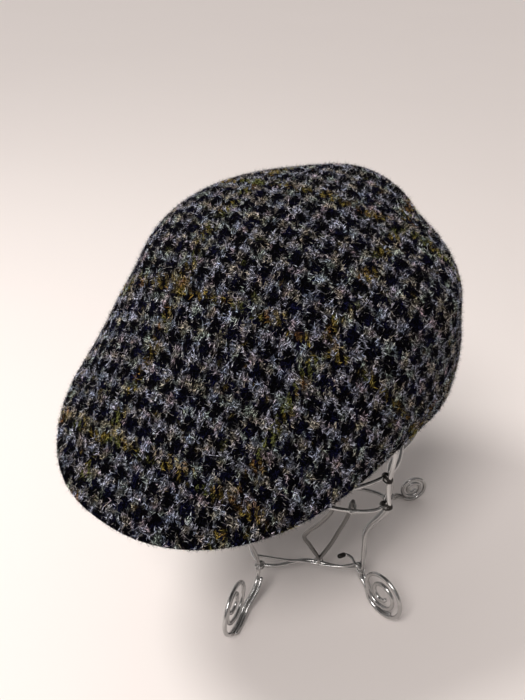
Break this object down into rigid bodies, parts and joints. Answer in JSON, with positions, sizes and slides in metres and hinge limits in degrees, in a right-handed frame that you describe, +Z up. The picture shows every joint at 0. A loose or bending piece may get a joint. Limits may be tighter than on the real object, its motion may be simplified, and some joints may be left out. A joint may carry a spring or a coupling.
{
  "type": "flat cap on a wire hat stand",
  "caption": "Soft tweed flat cap with a long peak sewn under its front, resting peak down on an open stand of bent bright wire with scroll feet.",
  "frame": {"origin": "on the ground, under the middle of the bounding box", "axes": "+Z up, -Y the way the peak points, +X the wearer's left"},
  "size_m": [0.2176, 0.2688, 0.2733],
  "materials": {
    "tweed": "hairy houndstooth wool cloth",
    "wire": "bright plated wire"
  },
  "bodies": {
    "root": {"top_panel": "tweed", "back_panel": "tweed", "peak": "tweed", "lower_ring": "wire", "upper_ring": "wire", "top_ring": "wire", "leg_1": "wire", "leg_2": "wire", "leg_3": "wire", "leg_4": "wire", "leg_5": "wire", "brace": "wire"}
  },
  "joints": []
}
